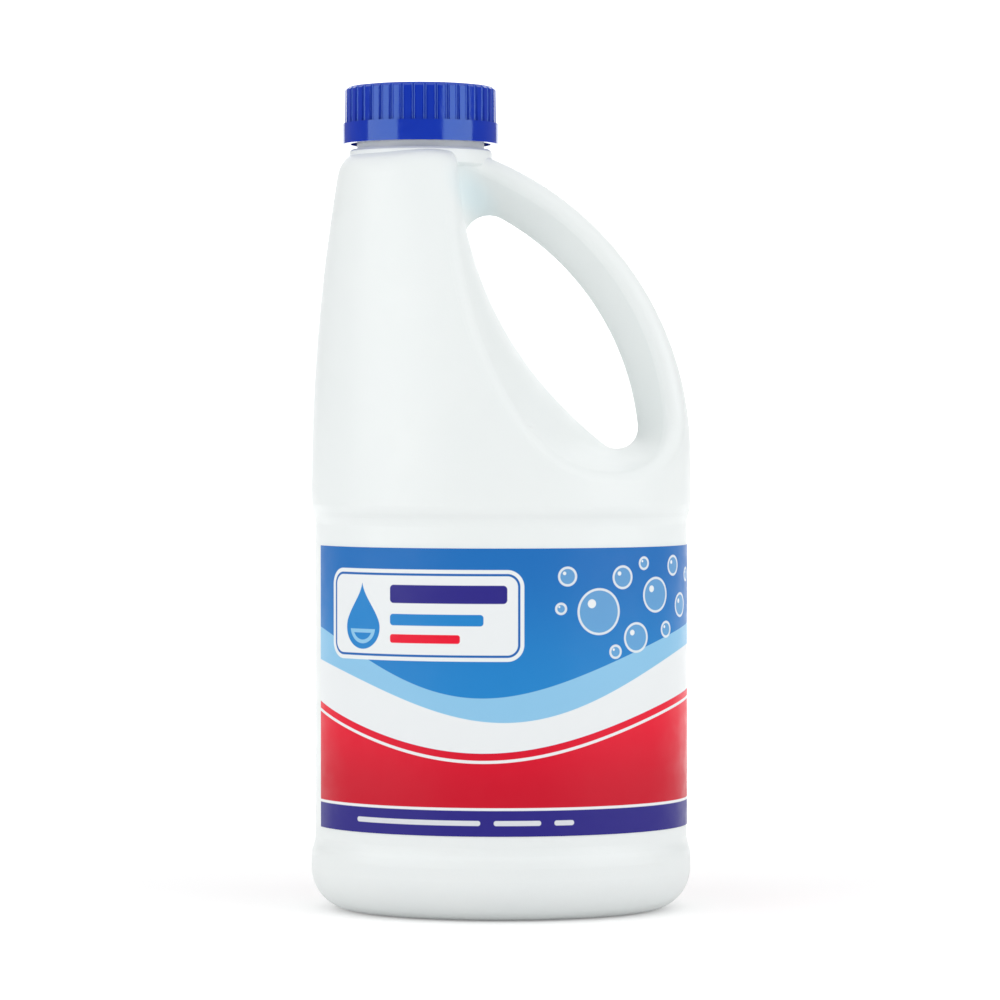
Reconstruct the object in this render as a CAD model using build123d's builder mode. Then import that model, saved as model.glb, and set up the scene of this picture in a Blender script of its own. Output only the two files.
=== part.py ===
import os
from math import radians, sin, sqrt, tan

from build123d import *

# Bleach bottle: a hollow blown body with a side handle, a ribbed screw cap with its liner, and a wrap label.
# Millimetres. +Z is up, the handle is on +X, the front faces -Y, and the bottle stands on Z = 0.

# Body
body_width = 115.2
body_depth = 88.0
wall = 0.95
bumper_height = 17.7
heel_radius = 12.5
standing_ring = 4.0
push_up = 3.5
push_up_run = 6.0
push_up_round = 3.0

# Recessed label panel, between the lower bumper and the shoulder
panel_recess = 1.15
panel_height = 97.0
panel_step = 3.6
step_radius = 8.0

# Shoulder above the panel: its side and its front come in along arcs
shoulder_height = 108.5
shoulder_sections = 9
side_foot = 4.1
side_radius = 585.0
front_radius = 275.0
shoulder_round = 9.0

# Handle's outer edge: an oval arc from its foot, where it is upright, to its end beside the neck's axis
# The arc would be level this far above the shoulder's top
handle_foot = 16.0
handle_end = 13.9
handle_crest = 4.2

# Finger gap's outline in the mid-plane, as X and Z, for this span from the neck's axis to the handle's foot
# Its tip is set out from the neck's axis at the shoulder's top, its low points from the foot of the handle
# A wider or narrower span stretches the outline in X, and its rounds with it
grip_span = 82.0
gap_tip_offset = (9.2, -14.2)
gap_body_offset = (-26.3, 19.4)
gap_handle_offset = (-16.1, 25.0)
gap_body_radius = 131.0
gap_tip_radius = 7.6

# The gap flares towards the front and the back, to this outline just outside the skin
mouth_tip_offset = (15.0, 48.6)
mouth_body_offset = (-52.6, 25.1)
mouth_handle_offset = (29.4, 50.1)
mouth_body_radius = 131.6
mouth_tip_radius = 12.0
mouth_margin = 2.0
flare_round = 6.0
flare_stations = 5
crease_radius = 4.0

# Neck
neck_setback = 33.2
neck_radius = 19.3
neck_wall = 1.8
neck_height = 16.1
lip_chamfer = 0.5
collar_step = 2.4
collar_height = 5.4
collar_floor = 1.2
collar_chamfer = 0.7

# Cap and its liner
cap_gap = 1.7
cap_wall = 1.85
cap_band_step = 0.55
cap_band_height = 6.2
cap_ribs = 42
cap_groove_radius = 0.8
cap_draft = 0.6
cap_top_chamfer = 0.9
cap_top_thickness = 1.8
thread_room = 1.9
liner_thickness = 1.0
liner_clearance = 0.3

# Label
label_bottom_margin = 4.7
label_top_margin = 7.5
label_thickness = 0.15
label_adhesive = 0.03
label_bare_strip = 24.4

# Heights and places that follow from those above
panel_bottom = bumper_height + panel_step
panel_top = panel_bottom + panel_height
shoulder_bottom = panel_top + panel_step
shoulder_top = shoulder_bottom + shoulder_height
rim_height = shoulder_top + neck_height
cap_bottom = shoulder_top + cap_gap
cap_ceiling = rim_height + liner_thickness
cap_top = cap_ceiling + cap_top_thickness
neck_x = neck_setback - body_width / 2
handle_rise = shoulder_height - handle_foot
handle_run = body_width / 2 - neck_x - handle_end
handle_arc_height = handle_rise + handle_crest
handle_arc_width = handle_run / (1 - sqrt(1 - (handle_rise / handle_arc_height) ** 2))
grip_stretch = (body_width / 2 - neck_x) / grip_span
mouth_reach = body_depth / 2 + mouth_margin
collar_radius = neck_radius + collar_step
cap_bore_radius = neck_radius + thread_room
cap_rib_radius = cap_bore_radius + cap_wall
level_tolerance = 0.01


def arc_drop(rise, radius):
    """How far an arc that starts out vertical has come in, at a rise above its start."""
    return radius - sqrt(radius**2 - max(rise, 0) ** 2)


def oval(height, center_x, half_width, half_depth):
    """Level oval face, with its two ends on the mould's parting plane."""
    with BuildSketch(Plane((center_x, 0, height))) as section:
        with BuildLine():
            EllipticalCenterArc((0, 0), half_width, half_depth, start_angle=0, arc_size=180)
            EllipticalCenterArc((0, 0), half_width, half_depth, start_angle=180, arc_size=180)
        make_face()
    return section.sketch


def shoulder_section(height, inset):
    """Section of the shoulder, whose handle end runs out along the handle's outer edge."""
    side_drop = arc_drop(height - shoulder_bottom - side_foot, side_radius)
    front_drop = arc_drop(height - shoulder_bottom - side_foot, front_radius)
    handle_share = max(height - shoulder_bottom - handle_foot, 0) / handle_arc_height
    handle_drop = handle_arc_width * (1 - sqrt(1 - handle_share**2))
    left = side_drop + inset - body_width / 2
    right = body_width / 2 - handle_drop - inset
    return oval(height, (left + right) / 2, (right - left) / 2, body_depth / 2 - front_drop - inset)


def gap_section(share, inset):
    """Outline of the finger gap at a share of its reach from the mid-plane, grown by the inset."""
    spread = sqrt((share * mouth_reach) ** 2 + flare_round**2) - flare_round
    opening = spread / (sqrt(mouth_reach**2 + flare_round**2) - flare_round)

    def between(at_gap, at_mouth):
        return at_gap + (at_mouth - at_gap) * opening

    def stretched(at_gap, at_mouth):
        place = between(Vector(at_gap), Vector(at_mouth))
        return Vector(place.X * grip_stretch, place.Y)

    from_neck = Vector(neck_x, shoulder_top)
    from_handle = Vector(body_width / 2, shoulder_bottom)
    tip = from_neck + stretched(gap_tip_offset, mouth_tip_offset)
    body_low = from_handle + stretched(gap_body_offset, mouth_body_offset)
    handle_low = from_handle + stretched(gap_handle_offset, mouth_handle_offset)
    tip_radius = between(gap_tip_radius, mouth_tip_radius) * grip_stretch
    with BuildSketch(Plane.XZ.offset(share * mouth_reach)) as outline:
        with BuildLine():
            body_edge = RadiusArc(tip, body_low, -between(gap_body_radius, mouth_body_radius))
            floor_edge = TangentArc(body_edge @ 1, handle_low, tangent=body_edge % 1)
            TangentArc(floor_edge @ 1, tip, tangent=floor_edge % 1)
        make_face()
        fillet(outline.vertices().sort_by(Axis.Y)[-1], tip_radius)
        if inset:
            offset(amount=inset)
    return outline.sketch


def level_edges(builder, height):
    """Edges that lie level at a height."""
    return builder.edges().filter_by_position(Axis.Z, height - level_tolerance, height + level_tolerance)


def blown_form(inset):
    """Skin of the blown body below its neck. An inset of one wall gives the inner surface."""
    half_width = body_width / 2 - inset
    half_depth = body_depth / 2 - inset
    panel_half_width = half_width - panel_recess
    panel_half_depth = half_depth - panel_recess
    foot_inset = heel_radius + standing_ring - 2 * inset
    roof_inset = foot_inset + push_up_run
    shoulder_rise = shoulder_height - inset
    turns = [90 * i / (shoulder_sections - 1) for i in range(shoulder_sections)]
    shares = [i / flare_stations for i in range(-flare_stations, flare_stations + 1)]
    with BuildPart() as form:
        # Heel and bumper
        extrude(oval(inset, 0, half_width, half_depth), amount=bumper_height - inset)
        fillet(level_edges(form, inset), heel_radius - inset)
        # Label panel, with a sloping step below it and above it
        foot = oval(bumper_height, 0, half_width, half_depth)
        panel = oval(panel_bottom, 0, panel_half_width, panel_half_depth)
        loft([foot, panel], ruled=True)
        extrude(panel, amount=panel_height)
        panel_end = oval(panel_top, 0, panel_half_width, panel_half_depth)
        loft([panel_end, shoulder_section(shoulder_bottom, inset)], ruled=True)
        # Shoulder and handle in one form
        loft([shoulder_section(shoulder_bottom + shoulder_rise * sin(radians(t)), inset) for t in turns])
        fillet(level_edges(form, shoulder_bottom + shoulder_rise), shoulder_round - inset)
        for height in (bumper_height, panel_bottom, panel_top, shoulder_bottom):
            fillet(level_edges(form, height), step_radius)
        # Finger gap through the shoulder, which leaves the handle
        loft([gap_section(share, inset) for share in shares], mode=Mode.SUBTRACT)
        fillet(form.edges(Select.NEW), crease_radius * grip_stretch - inset)
        # Pushed-up base inside the standing ring
        ring_edge = oval(inset, 0, half_width - foot_inset, half_depth - foot_inset)
        roof = oval(inset + push_up, 0, half_width - roof_inset, half_depth - roof_inset)
        loft([ring_edge, roof], ruled=True, mode=Mode.SUBTRACT)
        fillet(level_edges(form, inset + push_up), push_up_round)
    return form.part


with BuildPart() as bottle:
    # Collar and neck
    with BuildSketch(Plane((neck_x, 0, shoulder_top - collar_height))):
        Circle(collar_radius)
    extrude(amount=collar_height)
    chamfer(bottle.edges().filter_by(GeomType.CIRCLE), collar_chamfer)
    with BuildSketch(Plane((neck_x, 0, shoulder_top))):
        Circle(neck_radius)
    extrude(amount=neck_height)
    chamfer(level_edges(bottle, rim_height), lip_chamfer)
    # Blown body and its hollow
    add(blown_form(0))
    add(blown_form(wall), mode=Mode.SUBTRACT)
    # Bore of the neck, down into the hollow
    bore_depth = neck_height + collar_height - collar_floor
    with BuildSketch(Plane((neck_x, 0, rim_height - bore_depth))):
        Circle(neck_radius - neck_wall)
    extrude(amount=bore_depth, mode=Mode.SUBTRACT)
bottle.part.label = "bottle"

with BuildPart() as cap:
    # Drafted skirt with vertical grip grooves, above a plain band
    cap_height = cap_top - cap_bottom
    cap_top_radius = cap_rib_radius - cap_height * tan(radians(cap_draft))
    with Locations((neck_x, 0, cap_bottom)):
        Cone(cap_rib_radius, cap_top_radius, cap_height, align=(Align.CENTER, Align.CENTER, Align.MIN))
    chamfer(level_edges(cap, cap_top), cap_top_chamfer)
    with BuildSketch(Plane((neck_x, 0, cap_bottom))):
        with PolarLocations(cap_rib_radius, cap_ribs):
            Circle(cap_groove_radius)
    extrude(amount=cap_height, mode=Mode.SUBTRACT)
    with BuildSketch(Plane((neck_x, 0, cap_bottom))):
        Circle(cap_rib_radius + cap_band_step)
    extrude(amount=cap_band_height)
    # Bore for the threaded neck and the liner
    with BuildSketch(Plane((neck_x, 0, cap_bottom))):
        Circle(cap_bore_radius)
    extrude(amount=cap_ceiling - cap_bottom, mode=Mode.SUBTRACT)
cap.part.label = "cap"

with BuildPart() as cap_liner:
    # Sealing disc between the rim and the cap
    with BuildSketch(Plane((neck_x, 0, rim_height))):
        Circle(cap_bore_radius - liner_clearance)
    extrude(amount=liner_thickness)
cap_liner.part.label = "cap_liner"

with BuildPart() as label:
    # Film round the panel, with its two ends short of each other on the side away from the handle
    label_base = panel_bottom + label_bottom_margin
    label_height = panel_height - label_bottom_margin - label_top_margin
    inner_half_width = body_width / 2 - panel_recess + label_adhesive
    inner_half_depth = body_depth / 2 - panel_recess + label_adhesive
    outer_half_width = inner_half_width + label_thickness
    outer_half_depth = inner_half_depth + label_thickness
    extrude(oval(label_base, 0, outer_half_width, outer_half_depth), amount=label_height)
    inner = oval(label_base, 0, inner_half_width, inner_half_depth)
    extrude(inner, amount=label_height, mode=Mode.SUBTRACT)
    with BuildSketch(Plane((0, 0, label_base))):
        Rectangle(body_width, label_bare_strip, align=(Align.MAX, Align.CENTER))
    extrude(amount=label_height, mode=Mode.SUBTRACT)
label.part.label = "label"

os.makedirs("parts", exist_ok=True)
for piece in (bottle, cap, cap_liner, label):
    export_step(piece.part, f"parts/{piece.part.label}.step")
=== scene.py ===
from math import acos, cos, pi, radians, sin

import bmesh
import bpy
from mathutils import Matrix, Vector


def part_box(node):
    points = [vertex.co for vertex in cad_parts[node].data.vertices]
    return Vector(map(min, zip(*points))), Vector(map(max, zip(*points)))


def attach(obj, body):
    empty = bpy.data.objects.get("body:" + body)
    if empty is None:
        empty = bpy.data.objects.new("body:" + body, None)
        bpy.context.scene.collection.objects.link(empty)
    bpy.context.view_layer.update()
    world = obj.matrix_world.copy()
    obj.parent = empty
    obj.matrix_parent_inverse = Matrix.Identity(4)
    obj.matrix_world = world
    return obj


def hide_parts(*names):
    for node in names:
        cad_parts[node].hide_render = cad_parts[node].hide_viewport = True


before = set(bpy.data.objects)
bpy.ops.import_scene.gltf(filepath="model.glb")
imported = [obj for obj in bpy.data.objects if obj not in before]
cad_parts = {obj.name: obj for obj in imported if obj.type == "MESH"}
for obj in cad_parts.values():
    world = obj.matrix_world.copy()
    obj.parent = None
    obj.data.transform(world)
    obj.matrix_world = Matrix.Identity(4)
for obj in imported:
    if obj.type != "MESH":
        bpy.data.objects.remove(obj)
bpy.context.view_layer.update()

# Lengths are in metres and angles in degrees, except where a heading says otherwise

# Camera: in front of the bottle, a little above its middle, aimed slightly down
camera_distance = 1.25
camera_height = 0.150
aim_height = 0.1242
aim_side = -0.0003
view_height = 0.304
sensor_width = 36.0

# Stage: a wide pale floor, and a backdrop that curves up from it
floor_reach = 14.0
backdrop_half_width = 1.1
backdrop_distance = 1.6
backdrop_height = 3.0
sweep_radius = 0.6
sweep_steps = 16
stage_fill = 0.27
stage_far_fill = 1.0
stage_near = 0.16
stage_far = 0.55
stage_surface = dict(
    Base_Color=(0.82, 0.82, 0.82, 1.0),
    Roughness=0.9,
    Specular_IOR_Level=0.0,
    Emission_Color=(1.0, 1.0, 1.0, 1.0),
)

# Two wide soft boxes, on the left and the right of the camera
box_angle = 58.0
box_distance = 1.25
box_width = 1.15
box_height = 0.8
box_middle = 0.42
box_power = 5.5

# World: dim all round, and brighter from above
sky_level = 0.27
sky_top_level = 0.98
sky_rise = (0.10, 0.70)
sky_color = (1.0, 1.0, 1.0, 1.0)

# Screw thread on the neck and in the cap, which runs out over a share of its length at each end
thread_pitch = 0.004233
thread_turns = 1.5
thread_depth = 0.0012
thread_root = 0.0026
thread_crest = 0.0012
thread_sink = 0.0003
thread_steps = 96
thread_run_out = 0.125
thread_top_margin = 0.0032
neck_radius = 0.0193
cap_bore_radius = 0.0212

# Pinch-off seam under the base, whose ends run out by a power of the way along it
seam_length = 0.060
seam_width = 0.0012
seam_crest = 0.0004
seam_height = 0.0006
seam_sink = 0.0002
seam_run_out = 4
seam_sections = 40
base_recess = 0.0035

# Gate mark and ring on the cap's top
gate_radius = 0.0014
gate_top_radius = 0.00105
gate_height = 0.0003
gate_edge_height = 0.00015
gate_steps = 72
ring_radius = 0.0188
ring_thickness = 0.0004
ring_steps = 96
ring_sides = 10

# Edges of new meshes that are sharper than this stay sharp
sharp_angle = 40.0

# Normals of the bottle's mesh that lie further than this from the faces round them are mended
stray_angle = 25.0

# Label film
label_thickness = 0.00015
label_columns = 288
label_rows = 12

# Colours, as linear values
white = (0.83, 0.865, 0.858, 1.0)
white_deep = (0.805, 0.845, 0.845, 1.0)
# Painted shade for the recess under the collar
recess_painted_shade = (0.62, 0.79, 0.84, 1.0)
parting_tint = (0.76, 0.80, 0.82, 1.0)
cap_blue = (0.001, 0.022, 0.40, 1.0)
cap_flow_blue = (0.002, 0.028, 0.44, 1.0)
foam_white = (0.78, 0.78, 0.76, 1.0)
# Painted shade in the dents of the foam's cells
foam_dent_shade = (0.70, 0.70, 0.68, 1.0)
print_blue = (0.014, 0.225, 0.585, 1.0)
print_deep_blue = (0.008, 0.125, 0.44, 1.0)
print_pale_blue = (0.27, 0.56, 0.80, 1.0)
print_red = (0.82, 0.003, 0.030, 1.0)
print_dark_red = (0.58, 0.002, 0.020, 1.0)
print_navy = (0.022, 0.016, 0.22, 1.0)
print_white = (0.83, 0.86, 0.87, 1.0)

# Span of a noise that carries a tone or a gloss from one end to the other
noise_span = (0.3, 0.7)
tone_share = 0.5

# Bottle plastic: tone, waves in the wall, grain and gloss. Noise scales are per metre.
bottle_cloud = dict(scale=22.0, detail=2.0)
bottle_waves = dict(scale=55.0, detail=1.0)
bottle_wave_bump = dict(distance=0.0010, strength=0.10)
bottle_grain = dict(scale=2600.0, detail=2.0)
bottle_grain_bump = dict(distance=0.00006, strength=0.35)
bottle_gloss_noise = dict(scale=160.0, detail=3.0)
bottle_gloss = (0.34, 0.44)
bottle_surface = dict(IOR=1.53, Specular_IOR_Level=0.45)

# Parting line of the mould, all round the bottle at its middle
parting_edge = (0.00010, 0.00055)
parting_share = 0.35
parting_bump = dict(distance=0.00018, strength=0.8)

# Painted shade on the web under the collar, where the two walls of the bottle lie close: a cooler,
# darker tint in its recess
recess_x = -0.0082
recess_z = 0.2160
recess_slant = -56.0
recess_length = 0.0140
recess_width = 0.0075
recess_shade_strength = 0.5
recess_shade_edge = (0.1, 1.0)

# Cap plastic: flow marks, grain and gloss
cap_flow = dict(scale=90.0, detail=2.0)
cap_grain = dict(scale=1800.0, detail=2.0)
cap_grain_bump = dict(distance=0.00004, strength=0.25)
cap_gloss_noise = dict(scale=420.0, detail=4.0)
cap_gloss_span = (0.35, 0.75)
cap_gloss = (0.08, 0.16)
cap_surface = dict(IOR=1.49, Specular_IOR_Level=0.9, Specular_Tint=(0.5, 0.85, 1.0, 1.0))

# Liner foam
foam_cell_scale = 1700.0
foam_cell_reach = 0.5
foam_bump = dict(distance=0.0002, strength=0.5)
foam_roughness = 0.75

# Label film's surface: waves, grain and gloss
film_waves = dict(scale=70.0, detail=1.0)
film_wave_bump = dict(distance=0.0006, strength=0.07)
film_grain = dict(scale=1500.0, detail=2.0)
film_grain_bump = dict(distance=0.00003, strength=0.3)
film_gloss_noise = dict(scale=210.0, detail=3.0)
film_gloss = (0.30, 0.40)
film_surface = dict(IOR=1.5, Specular_IOR_Level=0.2)

# Print on the label, in millimetres: along it from its left front end, and up it
mm_per_metre = 1000
ink_edge = 0.12
blue_fade = (40.0, 85.0)
blue_fade_share = 0.75
red_fade = (10.0, 40.0)
crest_wave = dict(middle=33.0, rise=8.5, wavelength=172.0, phase=2.5)
ribbon_wave = dict(middle=15.0, rise=3.4, wavelength=118.0, phase=0.6)
ribbon_swell = dict(middle=3.6, rise=2.2, wavelength=96.0, phase=2.2)
white_wave = dict(middle=11.0, rise=2.6, wavelength=118.0, phase=0.6)
crest_line_drop = 2.6
crest_line_half = 0.45

# Bubbles: place and radius of each, and the glint as shares of the radius
bubbles = (
    (96.0, 66.0, 6.6), (109.0, 58.0, 4.2), (86.0, 76.5, 2.6), (104.0, 76.0, 3.2),
    (117.0, 70.5, 5.0), (122.0, 60.0, 2.2), (112.0, 80.0, 1.7), (101.5, 54.0, 1.8),
    (126.0, 79.0, 2.8), (131.0, 67.0, 3.4), (84.0, 67.0, 1.5), (137.0, 76.0, 1.9),
)
bubble_fill = 0.45
bubble_line_half = 0.35
bubble_line_share = 0.85
glint_offset = 0.36
glint_size = 0.2

# Panel on the front, with a drop and plain bars
front_panel = dict(x=41.0, y=65.0, width=64.0, tall=27.0, radius=5.0)
panel_line_inset = 1.5
panel_line_half = 0.35
drop_x = 22.0
drop_y = 61.0
drop_radius = 6.4
drop_tip = 75.0
drop_end = 74.2
shine_radius = 4.2
shine_top = 60.0
shine_half = 0.55
panel_bars = (
    (dict(x=50.0, y=71.2, width=36.0, tall=5.4, radius=1.2), print_navy),
    (dict(x=46.5, y=63.6, width=29.0, tall=3.4, radius=1.0), print_blue),
    (dict(x=43.0, y=58.0, width=22.0, tall=2.6, radius=0.8), print_red),
)

# Strip along the foot, with its white line and bars
foot_line_top = 8.4
foot_top = 7.6
foot_bars = (
    dict(x=40.0, y=3.9, width=40.0, tall=1.5, radius=0.7),
    dict(x=71.0, y=3.9, width=14.0, tall=1.5, radius=0.7),
    dict(x=85.0, y=3.9, width=6.0, tall=1.5, radius=0.7),
)
foot_bar_share = 0.85

# Back of the label, and the broken bars that stand for fine print
back_panel = dict(x=222.0, y=47.0, width=82.0, tall=62.0, radius=4.0)
back_bar = dict(x=222.0, y=69.0, width=72.0, tall=8.0, radius=1.2)
back_print = dict(x=222.0, y=40.0, width=72.0, tall=40.0, radius=1.0)
side_print = dict(x=158.0, y=60.0, width=34.0, tall=34.0, radius=1.0)
fine_row = 2.6
fine_bar = 0.9
fine_step = 1.7
fine_gap = 0.24
fine_contrast = 20.0
fine_share = 0.9


# Objects and meshes

def place(name, data):
    """New object in the scene."""
    piece = bpy.data.objects.new(name, data)
    bpy.context.scene.collection.objects.link(piece)
    return piece


def aim(piece, target):
    """Turns a camera or lamp to a point."""
    way = Vector(target) - piece.location
    piece.rotation_euler = way.to_track_quat("-Z", "Y").to_euler()


def add_mesh(name, verts, faces):
    """New mesh object from points and faces, smooth except at its sharp edges."""
    mesh = bpy.data.meshes.new(name)
    mesh.from_pydata([tuple(v) for v in verts], [], faces)
    mesh.validate()
    mesh.shade_smooth()
    mesh.set_sharp_from_angle(angle=radians(sharp_angle))
    return place(name, mesh)


def outward(piece):
    """Turns every face of a closed mesh outwards."""
    work = bmesh.new()
    work.from_mesh(piece.data)
    bmesh.ops.recalc_face_normals(work, faces=work.faces)
    work.to_mesh(piece.data)
    work.free()
    return piece


def mend_normals(piece):
    """Gives each corner whose stored normal is astray the mean normal of the faces round its point.

    No point moves.
    """
    tree = bpy.data.node_groups.new("mend_normals", "GeometryNodeTree")
    tree.interface.new_socket("Geometry", in_out="INPUT", socket_type="NodeSocketGeometry")
    tree.interface.new_socket("Geometry", in_out="OUTPUT", socket_type="NodeSocketGeometry")

    def node(kind, inputs=(), **settings):
        made = tree.nodes.new(kind)
        for key, value in settings.items():
            setattr(made, key, value)
        for name, source in inputs:
            tree.links.new(source, made.inputs[name])
        return made

    def vector(operation, *sources):
        return node("ShaderNodeVectorMath", enumerate(sources), operation=operation).outputs

    start = node("NodeGroupInput")
    given = node("GeometryNodeInputNormal").outputs
    area = node("GeometryNodeInputMeshFaceArea").outputs[0]
    weighted = node(
        "ShaderNodeVectorMath", ((0, given["True Normal"]), ("Scale", area)), operation="SCALE"
    )
    mean = weighted.outputs["Vector"]
    for domain in ("FACE", "POINT"):
        mean = node(
            "GeometryNodeFieldOnDomain", ((0, mean),), domain=domain, data_type="FLOAT_VECTOR"
        ).outputs[0]
    stored = vector("NORMALIZE", given["Normal"])["Vector"]
    likeness = vector("DOT_PRODUCT", stored, mean)["Value"]
    reach = vector("LENGTH", mean)["Value"]
    limit = node("ShaderNodeMath", ((0, reach),), operation="MULTIPLY")
    limit.inputs[1].default_value = cos(radians(stray_angle))
    near = node(
        "FunctionNodeCompare",
        (("A", likeness), ("B", limit.outputs[0])),
        operation="GREATER_EQUAL",
    )
    pick = node("GeometryNodeSwitch", input_type="VECTOR")
    mended = vector("NORMALIZE", mean)["Vector"]
    for name, source in (("Switch", near.outputs["Result"]), ("False", mended), ("True", stored)):
        tree.links.new(source, pick.inputs[name])
    mend = node(
        "GeometryNodeSetMeshNormal", (("Mesh", start.outputs[0]),), mode="FREE", domain="CORNER"
    )
    tree.links.new(pick.outputs["Output"], mend.inputs["Custom Normal"])
    node("NodeGroupOutput", ((0, mend.outputs["Mesh"]),))
    piece.modifiers.new("mend_normals", "NODES").node_group = tree


def strip(name, verts, sections):
    """Closed strip with four sides, from four points at each end and between its sections."""
    count = len(verts)
    faces = [(0, 1, 2, 3), (count - 1, count - 2, count - 3, count - 4)]
    for i in range(sections):
        for k in range(4):
            a, b = 4 * i + k, 4 * i + (k + 1) % 4
            faces.append((a, b, b + 4, a + 4))
    return outward(add_mesh(name, verts, faces))


def thread(name, axis_x, start_height, wall_radius, inward):
    """Screw thread on a round wall: a trapezoid ridge along a helix that runs out at its ends."""
    side = -1 if inward else 1
    verts = []
    for i in range(thread_steps + 1):
        share = i / thread_steps
        angle = 2 * pi * thread_turns * share
        height = start_height + thread_pitch * thread_turns * share
        run_out = min(1.0, min(share, 1 - share) / thread_run_out)
        root = wall_radius - side * thread_sink
        crest = wall_radius + side * thread_depth * run_out
        profile = (
            (root, -thread_root / 2),
            (crest, -thread_crest / 2),
            (crest, thread_crest / 2),
            (root, thread_root / 2),
        )
        for radius, rise in profile:
            verts.append((axis_x + radius * cos(angle), radius * sin(angle), height + rise))
    return strip(name, verts, thread_steps)


def seam(name, top):
    """Pinched ridge along X that hangs below a height and runs out at both ends."""
    verts = []
    for i in range(seam_sections + 1):
        share = 2 * i / seam_sections - 1
        foot = top - seam_height * (1 - share**seam_run_out)
        profile = (
            (-seam_width / 2, top),
            (-seam_crest / 2, foot),
            (seam_crest / 2, foot),
            (seam_width / 2, top),
        )
        for y, z in profile:
            verts.append((share * seam_length / 2, y, z))
    return strip(name, verts, seam_sections)


def lathe(name, axis_x, profile, steps):
    """Closed round mesh from a profile of radius and height, whose ends lie on the axis."""
    verts = []
    for radius, height in profile[1:-1]:
        for i in range(steps):
            angle = 2 * pi * i / steps
            verts.append((axis_x + radius * cos(angle), radius * sin(angle), height))
    first, last = len(verts), len(verts) + 1
    verts.append((axis_x, 0, profile[0][1]))
    verts.append((axis_x, 0, profile[-1][1]))
    rings = len(profile) - 2
    faces = []
    for i in range(steps):
        j = (i + 1) % steps
        faces.append((first, j, i))
        faces.append((last, (rings - 1) * steps + i, (rings - 1) * steps + j))
        for r in range(rings - 1):
            a, b = r * steps, (r + 1) * steps
            faces.append((a + i, a + j, b + j, b + i))
    return outward(add_mesh(name, verts, faces))


def ring(name, axis_x, height):
    """Round bead that lies level."""
    verts = []
    for i in range(ring_steps):
        angle = 2 * pi * i / ring_steps
        for k in range(ring_sides):
            turn = 2 * pi * k / ring_sides
            reach = ring_radius + ring_thickness * cos(turn)
            rise = ring_thickness * sin(turn)
            verts.append((axis_x + reach * cos(angle), reach * sin(angle), height + rise))
    faces = []
    for i in range(ring_steps):
        a, b = i * ring_sides, (i + 1) % ring_steps * ring_sides
        for k in range(ring_sides):
            m = (k + 1) % ring_sides
            faces.append((a + k, b + k, b + m, a + m))
    return outward(add_mesh(name, verts, faces))


def label_film(name, low, high):
    """Film round the oval panel. Its UV map runs once along its length and once up its height."""
    start = pi + acos(-low.x / high.x)
    end = 4 * pi - start
    rims = []
    for inset in (0.0, label_thickness):
        rim = []
        for i in range(label_columns + 1):
            angle = start + (end - start) * i / label_columns
            x, y = (high.x - inset) * cos(angle), (high.y - inset) * sin(angle)
            rim.append(Vector((x, y, 0)))
        rims.append(rim)
    run = [0.0]
    for before, after in zip(rims[0], rims[0][1:]):
        run.append(run[-1] + (after - before).length)
    length = run[-1]
    verts = []
    places = []
    for rim in rims:
        for row in range(label_rows + 1):
            share = row / label_rows
            for point, along in zip(rim, run):
                verts.append((point.x, point.y, low.z + (high.z - low.z) * share))
                places.append((along / length, share))
    columns = label_columns + 1
    inner = columns * (label_rows + 1)
    faces = []
    for row in range(label_rows):
        for i in range(label_columns):
            a = row * columns + i
            b = inner + a
            faces.append((a, a + 1, a + columns + 1, a + columns))
            faces.append((b, b + columns, b + columns + 1, b + 1))
    for i in range(label_columns):
        top = label_rows * columns + i
        faces.append((i, inner + i, inner + i + 1, i + 1))
        faces.append((top, top + 1, inner + top + 1, inner + top))
    for row in range(label_rows):
        a = row * columns
        b = a + label_columns
        faces.append((a, a + columns, inner + a + columns, inner + a))
        faces.append((b, inner + b, inner + b + columns, b + columns))
    piece = add_mesh(name, verts, faces)
    layer = piece.data.uv_layers.new(name="print")
    for loop in piece.data.loops:
        layer.data[loop.index].uv = places[loop.vertex_index]
    return outward(piece), length


# Shader nodes

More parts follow.
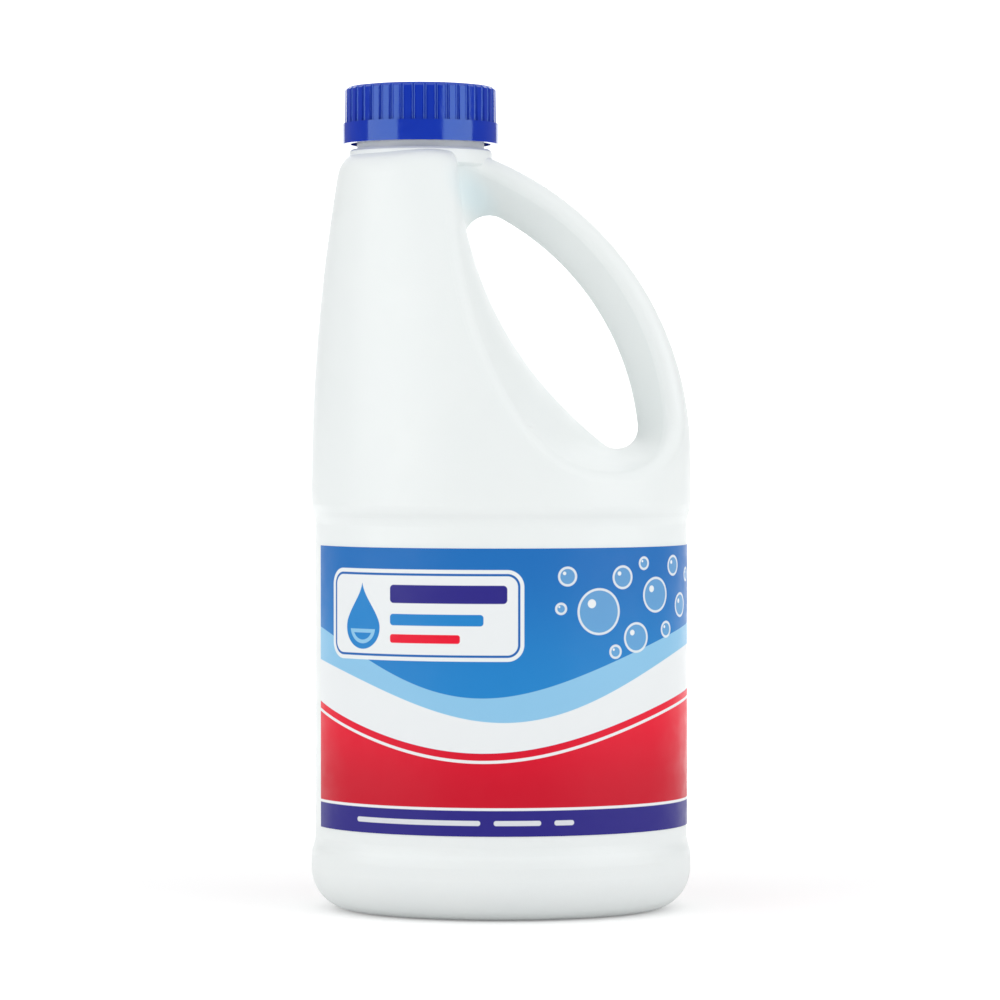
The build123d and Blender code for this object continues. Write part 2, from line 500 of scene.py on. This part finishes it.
class Shader:
    """One material's node tree, with short calls for the nodes that the materials share."""

    def __init__(self, name):
        self.material = bpy.data.materials.new(name)
        self.material.use_nodes = True
        self.tree = self.material.node_tree
        self.surface = self.tree.nodes["Principled BSDF"]

    def node(self, kind, **settings):
        made = self.tree.nodes.new(kind)
        for key, value in settings.items():
            setattr(made, key, value)
        return made

    def feed(self, socket, value):
        """Links a node's output into a socket, or sets the socket to a plain value."""
        if isinstance(value, bpy.types.NodeSocket):
            self.tree.links.new(value, socket)
        else:
            socket.default_value = value

    def math(self, operation, *values):
        made = self.node("ShaderNodeMath", operation=operation)
        for socket, value in zip(made.inputs, values):
            self.feed(socket, value)
        return made.outputs[0]

    def reach(self, x, y):
        """Length of a step by x and y."""
        squares = (self.math("MULTIPLY", x, x), self.math("MULTIPLY", y, y))
        return self.math("SQRT", self.math("ADD", *squares))

    def mix(self, share, first, second):
        """Colour that goes from first to second."""
        made = self.node("ShaderNodeMix", data_type="RGBA")
        self.feed(made.inputs["Factor"], share)
        self.feed(made.inputs["A"], first)
        self.feed(made.inputs["B"], second)
        return made.outputs["Result"]

    def ramp(self, value, low, high, to_low=0.0, to_high=1.0):
        """Smooth step from one number to another as the value goes from low to high."""
        made = self.node("ShaderNodeMapRange", interpolation_type="SMOOTHSTEP")
        for key, entry in (("Value", value), ("From Min", low), ("From Max", high)):
            self.feed(made.inputs[key], entry)
        self.feed(made.inputs["To Min"], to_low)
        self.feed(made.inputs["To Max"], to_high)
        return made.outputs["Result"]

    def position(self):
        """Point on the object, in metres."""
        return self.node("ShaderNodeTexCoord").outputs["Object"]

    def parts(self, vector):
        """The three numbers of a vector."""
        made = self.node("ShaderNodeSeparateXYZ")
        self.feed(made.inputs[0], vector)
        return made.outputs

    def noise(self, point, scale, detail):
        made = self.node("ShaderNodeTexNoise")
        self.feed(made.inputs["Vector"], point)
        made.inputs["Scale"].default_value = scale
        made.inputs["Detail"].default_value = detail
        return made.outputs["Fac"]

    def bump(self, height, distance, strength, normal=None):
        made = self.node("ShaderNodeBump")
        self.feed(made.inputs["Height"], height)
        made.inputs["Distance"].default_value = distance
        made.inputs["Strength"].default_value = strength
        if normal is not None:
            self.feed(made.inputs["Normal"], normal)
        return made.outputs["Normal"]

    def set(self, **values):
        """Sets the surface's sockets, named with underscores."""
        for key, value in values.items():
            self.feed(self.surface.inputs[key.replace("_", " ")], value)


def recess_shade_reach(shader, x, z):
    """Distance from the middle of the painted shade on the web under the collar: 1 on the rim of
    its slanting oval.
    """
    dx = shader.math("SUBTRACT", x, recess_x)
    dz = shader.math("SUBTRACT", z, recess_z)
    across, along = cos(radians(recess_slant)), sin(radians(recess_slant))
    run_x, run_z = shader.math("MULTIPLY", dx, across), shader.math("MULTIPLY", dz, along)
    side_z, side_x = shader.math("MULTIPLY", dz, across), shader.math("MULTIPLY", dx, along)
    run = shader.math("DIVIDE", shader.math("ADD", run_x, run_z), recess_length)
    side = shader.math("DIVIDE", shader.math("SUBTRACT", side_z, side_x), recess_width)
    return shader.reach(run, side)


def bottle_material():
    """White blown polyethylene: soft sheen, faint waves, fine grain, a parting line and painted
    shade under the collar.
    """
    shader = Shader("bottle_plastic")
    point = shader.position()
    x, y, z = shader.parts(point)
    parting = shader.ramp(shader.math("ABSOLUTE", y), *parting_edge, 1.0, 0.0)
    cloud = shader.ramp(shader.noise(point, **bottle_cloud), *noise_span, 0.0, tone_share)
    # Painted shade: a cooler, darker tint in the recess under the collar
    painted_shade = shader.ramp(recess_shade_reach(shader, x, z), *recess_shade_edge, recess_shade_strength, 0.0)
    tone = shader.mix(cloud, white, white_deep)
    tone = shader.mix(painted_shade, tone, recess_painted_shade)
    tone = shader.mix(shader.math("MULTIPLY", parting, parting_share), tone, parting_tint)
    normal = shader.bump(shader.noise(point, **bottle_waves), **bottle_wave_bump)
    normal = shader.bump(shader.noise(point, **bottle_grain), normal=normal, **bottle_grain_bump)
    normal = shader.bump(parting, normal=normal, **parting_bump)
    gloss = shader.ramp(shader.noise(point, **bottle_gloss_noise), *noise_span, *bottle_gloss)
    shader.set(Base_Color=tone, Roughness=gloss, Normal=normal, **bottle_surface)
    return shader.material


def cap_material():
    """Deep blue polypropylene, glossy, with faint flow and handling marks."""
    shader = Shader("cap_plastic")
    point = shader.position()
    flow = shader.ramp(shader.noise(point, **cap_flow), *noise_span, 0.0, tone_share)
    tone = shader.mix(flow, cap_blue, cap_flow_blue)
    grain = shader.bump(shader.noise(point, **cap_grain), **cap_grain_bump)
    gloss = shader.ramp(shader.noise(point, **cap_gloss_noise), *cap_gloss_span, *cap_gloss)
    shader.set(Base_Color=tone, Roughness=gloss, Normal=grain, **cap_surface)
    return shader.material


def foam_material():
    """White foamed sealing disc with fine cells, and painted shade in their dents."""
    shader = Shader("liner_foam")
    cells = shader.node("ShaderNodeTexVoronoi")
    shader.feed(cells.inputs["Vector"], shader.position())
    cells.inputs["Scale"].default_value = foam_cell_scale
    depth = cells.outputs["Distance"]
    # Painted shade: darker towards each cell's middle, where the bump dents the foam
    tone = shader.mix(shader.ramp(depth, 0.0, foam_cell_reach), foam_dent_shade, foam_white)
    dents = shader.bump(depth, **foam_bump)
    shader.set(Base_Color=tone, Roughness=foam_roughness, Normal=dents)
    return shader.material


def label_material(length, height):
    """Printed film: a white wave between a blue and a red field, bubbles, a drop and plain bars."""
    shader = Shader("label_film")
    shares = shader.parts(shader.node("ShaderNodeUVMap", uv_map="print").outputs["UV"])
    along = shader.math("MULTIPLY", shares[0], length * mm_per_metre)
    up = shader.math("MULTIPLY", shares[1], height * mm_per_metre)

    def swell(middle, rise, wavelength, phase):
        """Height of a wave, in millimetres up the label."""
        turn = shader.math("MULTIPLY_ADD", along, 2 * pi / wavelength, phase)
        return shader.math("MULTIPLY_ADD", shader.math("SINE", turn), rise, middle)

    def off(value, middle):
        return shader.math("SUBTRACT", value, middle)

    def round_spot(x, y, radius):
        """Distance past the rim of a disc."""
        return off(shader.reach(off(along, x), off(up, y)), radius)

    def round_bar(x, y, width, tall, radius):
        """Distance past the edge of a bar with round corners."""
        dx = off(shader.math("ABSOLUTE", off(along, x)), width / 2 - radius)
        dy = off(shader.math("ABSOLUTE", off(up, y)), tall / 2 - radius)
        corner = (shader.math("MAXIMUM", dx, 0.0), shader.math("MAXIMUM", dy, 0.0))
        return off(shader.reach(*corner), radius)

    def line(distance, half_width):
        """Line that follows the edge of a shape."""
        return off(shader.math("ABSOLUTE", distance), half_width)

    def both(first, second):
        return shader.math("MAXIMUM", first, second)

    def lay(tone, distance, color, strength=1.0):
        """Prints a colour over the tone wherever the distance is below zero."""
        return shader.mix(shader.ramp(distance, -ink_edge, ink_edge, strength, 0.0), tone, color)

    def fine_print(tone, block, color):
        """Block of broken bars in rows, as fine print looks from afar."""
        row = shader.math("FLOOR", shader.math("DIVIDE", up, fine_row))
        step = shader.math("FLOOR", shader.math("DIVIDE", along, fine_step))
        cell = shader.node("ShaderNodeCombineXYZ")
        shader.feed(cell.inputs[0], step)
        shader.feed(cell.inputs[1], row)
        ink = shader.node("ShaderNodeTexWhiteNoise", noise_dimensions="2D")
        shader.feed(ink.inputs["Vector"], cell.outputs[0])
        middle = shader.math("MULTIPLY_ADD", row, fine_row, fine_row / 2)
        bars = off(shader.math("ABSOLUTE", off(up, middle)), fine_bar / 2)
        gaps = shader.math("MULTIPLY", off(fine_gap, ink.outputs["Value"]), fine_contrast)
        return lay(tone, both(round_bar(**block), both(bars, gaps)), color, fine_share)

    # Blue field, deeper towards its top
    deep = shader.ramp(up, *blue_fade, 0.0, blue_fade_share)
    tone = shader.mix(deep, print_blue, print_deep_blue)
    # Red field under the wave, darker towards the foot
    crest = swell(**crest_wave)
    red = shader.mix(shader.ramp(up, *red_fade), print_dark_red, print_red)
    tone = lay(tone, off(up, crest), red)
    # White wave with a pale ribbon above it and a thin line below it
    ribbon = shader.math("ADD", crest, swell(**ribbon_wave))
    over = shader.math("ADD", ribbon, swell(**ribbon_swell))
    tone = lay(tone, both(off(up, over), off(crest, up)), print_pale_blue)
    body = shader.math("ADD", crest, swell(**white_wave))
    tone = lay(tone, both(off(up, body), off(crest, up)), print_white)
    tone = lay(tone, line(off(up, off(crest, crest_line_drop)), crest_line_half), print_white)
    # Bubbles that rise on the right of the front
    for x, y, radius in bubbles:
        spot = round_spot(x, y, radius)
        tone = lay(tone, spot, print_pale_blue, bubble_fill)
        tone = lay(tone, line(spot, bubble_line_half), print_white, bubble_line_share)
        shift = radius * glint_offset
        tone = lay(tone, round_spot(x - shift, y + shift, radius * glint_size), print_white)
    # White panel on the left of the front, with a drop and plain bars
    panel = round_bar(**front_panel)
    tone = lay(tone, panel, print_white)
    inset = shader.math("ADD", panel, panel_line_inset)
    tone = lay(tone, line(inset, panel_line_half), print_deep_blue)
    width = shader.ramp(up, drop_y, drop_tip, drop_radius, 0.0)
    sides = off(shader.math("ABSOLUTE", off(along, drop_x)), width)
    drop = both(sides, both(off(drop_y, up), off(up, drop_end)))
    drop = shader.math("MINIMUM", drop, round_spot(drop_x, drop_y, drop_radius))
    tone = lay(tone, drop, print_blue)
    shine = both(round_spot(drop_x, drop_y, shine_radius), off(up, shine_top))
    tone = lay(tone, line(shine, shine_half), print_pale_blue)
    for bar, color in panel_bars:
        tone = lay(tone, round_bar(**bar), color)
    # Navy strip along the foot
    tone = lay(tone, off(up, foot_line_top), print_white)
    tone = lay(tone, off(up, foot_top), print_navy)
    for bar in foot_bars:
        tone = lay(tone, round_bar(**bar), print_white, foot_bar_share)
    # Back: a white panel with fine print, beside a block of fine print on the blue
    tone = lay(tone, round_bar(**back_panel), print_white)
    tone = fine_print(tone, back_print, print_navy)
    tone = lay(tone, round_bar(**back_bar), print_red)
    tone = fine_print(tone, side_print, print_white)

    point = shader.position()
    normal = shader.bump(shader.noise(point, **film_waves), **film_wave_bump)
    normal = shader.bump(shader.noise(point, **film_grain), normal=normal, **film_grain_bump)
    gloss = shader.ramp(shader.noise(point, **film_gloss_noise), *noise_span, *film_gloss)
    shader.set(Base_Color=tone, Roughness=gloss, Normal=normal, **film_surface)
    return shader.material


def stage_material():
    """Pale paint that the camera and reflections see as white, and less so near the object."""
    shader = Shader("floor_paint")
    rays = shader.node("ShaderNodeLightPath").outputs
    seen = shader.math("ADD", rays["Is Camera Ray"], rays["Is Glossy Ray"])
    seen = shader.math("ADD", seen, rays["Is Transmission Ray"])
    reach = shader.node("ShaderNodeVectorMath", operation="LENGTH")
    shader.feed(reach.inputs[0], shader.position())
    far = reach.outputs["Value"]
    level = shader.ramp(far, stage_near, stage_far, stage_fill, stage_far_fill)
    fill = shader.math("MULTIPLY", shader.math("MINIMUM", seen, 1.0), level)
    shader.set(Emission_Strength=fill, **stage_surface)
    return shader.material


# Camera, stage and light

def add_camera():
    camera = bpy.data.cameras.new("camera")
    camera.sensor_width = sensor_width
    camera.lens = sensor_width * camera_distance / view_height
    piece = place("camera", camera)
    piece.location = (aim_side, -camera_distance, camera_height)
    aim(piece, (aim_side, 0, aim_height))
    bpy.context.scene.camera = piece


def add_stage():
    """Wide floor, and a backdrop that sweeps up from it."""
    profile = []
    for i in range(sweep_steps + 1):
        turn = pi / 2 * i / sweep_steps
        y = backdrop_distance + sweep_radius * sin(turn)
        profile.append((y, sweep_radius * (1 - cos(turn))))
    profile.append((backdrop_distance + sweep_radius, backdrop_height))
    verts = [(side * backdrop_half_width, y, z) for y, z in profile for side in (-1, 1)]
    faces = [(2 * i, 2 * i + 1, 2 * i + 3, 2 * i + 2) for i in range(len(profile) - 1)]
    faces.append(tuple(range(len(verts), len(verts) + 4)))
    for x, y in ((-1, -1), (1, -1), (1, 1), (-1, 1)):
        verts.append((x * floor_reach, y * floor_reach, 0.0))
    floor = add_mesh("floor", verts, faces)
    floor.data.materials.append(stage_material())


def add_lamps():
    for name, side in (("left", -1), ("right", 1)):
        light = bpy.data.lights.new(f"soft_box_{name}", "AREA")
        light.shape = "RECTANGLE"
        light.size = box_width
        light.size_y = box_height
        light.energy = box_power
        piece = place(light.name, light)
        angle = radians(box_angle) * side
        piece.location = (box_distance * sin(angle), -box_distance * cos(angle), box_middle)
        aim(piece, (0, 0, box_middle))


def add_world():
    world = bpy.data.worlds.new("studio")
    world.use_nodes = True
    tree = world.node_tree
    way = tree.nodes.new("ShaderNodeTexCoord")
    parts = tree.nodes.new("ShaderNodeSeparateXYZ")
    rise = tree.nodes.new("ShaderNodeMapRange")
    rise.interpolation_type = "SMOOTHSTEP"
    rise.inputs["From Min"].default_value, rise.inputs["From Max"].default_value = sky_rise
    rise.inputs["To Min"].default_value = sky_level
    rise.inputs["To Max"].default_value = sky_top_level
    sky = tree.nodes["Background"]
    sky.inputs["Color"].default_value = sky_color
    tree.links.new(way.outputs["Generated"], parts.inputs[0])
    tree.links.new(parts.outputs["Z"], rise.inputs["Value"])
    tree.links.new(rise.outputs["Result"], sky.inputs["Strength"])
    bpy.context.scene.world = world


def dress(piece, body, material):
    """Gives a new piece its material, and lets it ride on its body."""
    piece.data.materials.append(material)
    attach(piece, body)


def redress(node, material):
    """Gives a CAD node a better material."""
    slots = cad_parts[node].data.materials
    slots.clear()
    slots.append(material)


bpy.context.scene.view_settings.view_transform = "Standard"
add_camera()
add_stage()
add_lamps()
add_world()

plastic = bottle_material()
blue = cap_material()
redress("bottle", plastic)
redress("cap", blue)
redress("cap_liner", foam_material())
mend_normals(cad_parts["bottle"])

label_low, label_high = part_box("label")
film, film_length = label_film("label_print", label_low, label_high)
dress(film, "bottle", label_material(film_length, label_high.z - label_low.z))
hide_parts("label")

bottle_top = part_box("bottle")[1].z
cap_low, cap_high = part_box("cap")
axis_x = (cap_low.x + cap_high.x) / 2
neck_start = bottle_top - thread_top_margin - thread_turns * thread_pitch
cap_start = neck_start - thread_pitch / 2
neck_thread = thread("neck_thread", axis_x, neck_start, neck_radius, inward=False)
dress(neck_thread, "bottle", plastic)
cap_thread = thread("cap_thread", axis_x, cap_start, cap_bore_radius, inward=True)
dress(cap_thread, "cap", blue)

base_seam = seam("base_seam", base_recess + seam_sink)
dress(base_seam, "bottle", plastic)
gate_profile = (
    (0.0, cap_high.z - gate_height),
    (gate_radius, cap_high.z - gate_height),
    (gate_radius, cap_high.z + gate_edge_height),
    (gate_top_radius, cap_high.z + gate_height),
    (0.0, cap_high.z + gate_height),
)
gate_mark = lathe("cap_gate_mark", axis_x, gate_profile, gate_steps)
dress(gate_mark, "cap", blue)
cap_ring = ring("cap_ring", axis_x, cap_high.z)
dress(cap_ring, "cap", blue)
